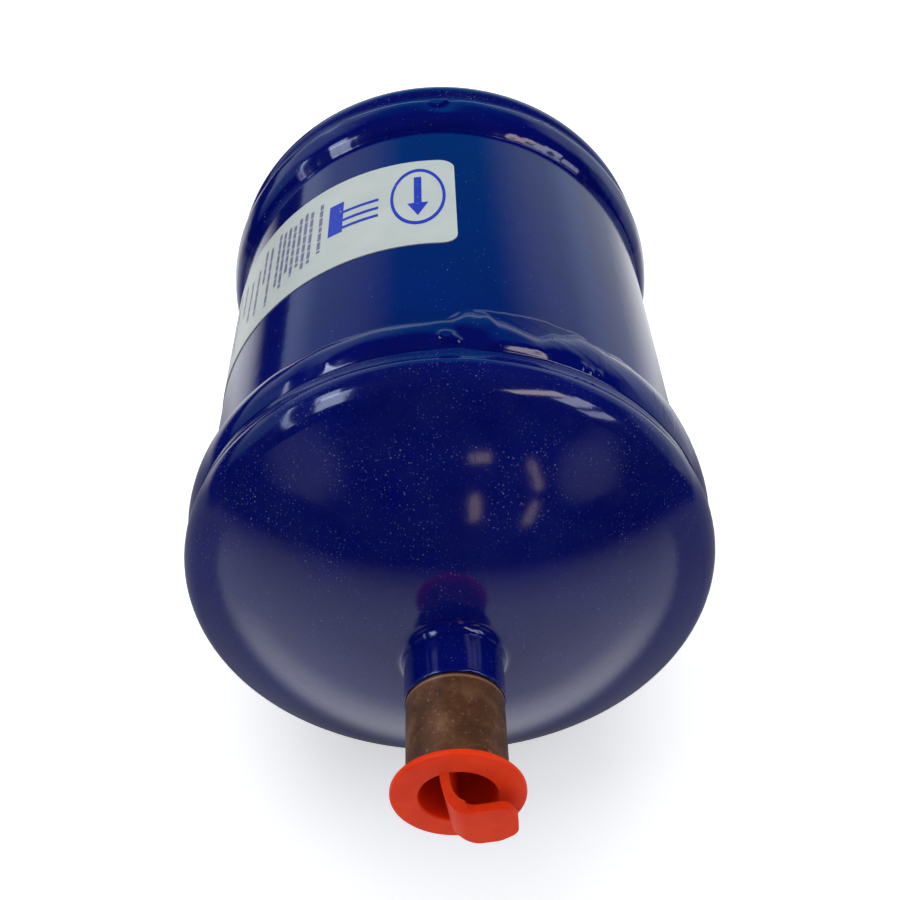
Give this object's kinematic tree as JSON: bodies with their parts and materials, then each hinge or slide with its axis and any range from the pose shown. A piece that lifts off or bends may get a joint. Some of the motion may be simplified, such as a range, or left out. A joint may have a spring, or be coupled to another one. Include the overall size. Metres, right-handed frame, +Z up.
{
  "type": "filter drier",
  "caption": "Welded steel refrigerant drier canister with dished ends, coaxial copper solder stubs and pull-out shipping plugs.",
  "frame": {"origin": "centre of the canister on its axis, midway between the two ends", "axes": "+Y along the drier's axis towards the rear connection, -Y out of the front connection, +Z up through the label's right end, +X to the right seen from the front"},
  "size_m": [0.0678, 0.1424, 0.0678],
  "materials": {
    "powder_coat": "gloss powder coat on welded steel",
    "copper": "tarnished copper tube",
    "label_film": "satin printed film",
    "plug_plastic": "moulded soft polyethylene",
    "plain_steel": "plain pressed steel",
    "spring_steel": "drawn spring wire",
    "fibre_pad": "felted fibre",
    "desiccant": "packed beads, drawn as one solid"
  },
  "bodies": {
    "canister": {"shell_tube": "powder_coat", "front_end_cap": "powder_coat", "rear_end_cap": "powder_coat", "front_weld_bead": "powder_coat", "rear_weld_bead": "powder_coat", "front_braze_fillet": "powder_coat", "rear_braze_fillet": "powder_coat", "front_connector": "copper", "rear_connector": "copper", "rating_label": "label_film", "outlet_plate": "plain_steel", "outlet_screen": "plain_steel", "outlet_pad": "fibre_pad", "desiccant_bed": "desiccant", "inlet_pad": "fibre_pad", "inlet_screen": "plain_steel", "spring_plate": "plain_steel", "pressure_spring": "spring_steel"},
    "front_plug": {"front_plug": "plug_plastic"},
    "rear_plug": {"rear_plug": "plug_plastic"}
  },
  "joints": [
    {"name": "front_plug_pull", "type": "slide", "parent": "canister", "child": "front_plug", "axis": [0, -1, 0], "range_m": [0, 0.015]},
    {"name": "rear_plug_pull", "type": "slide", "parent": "canister", "child": "rear_plug", "axis": [0, 1, 0], "range_m": [0, 0.015]}
  ]
}
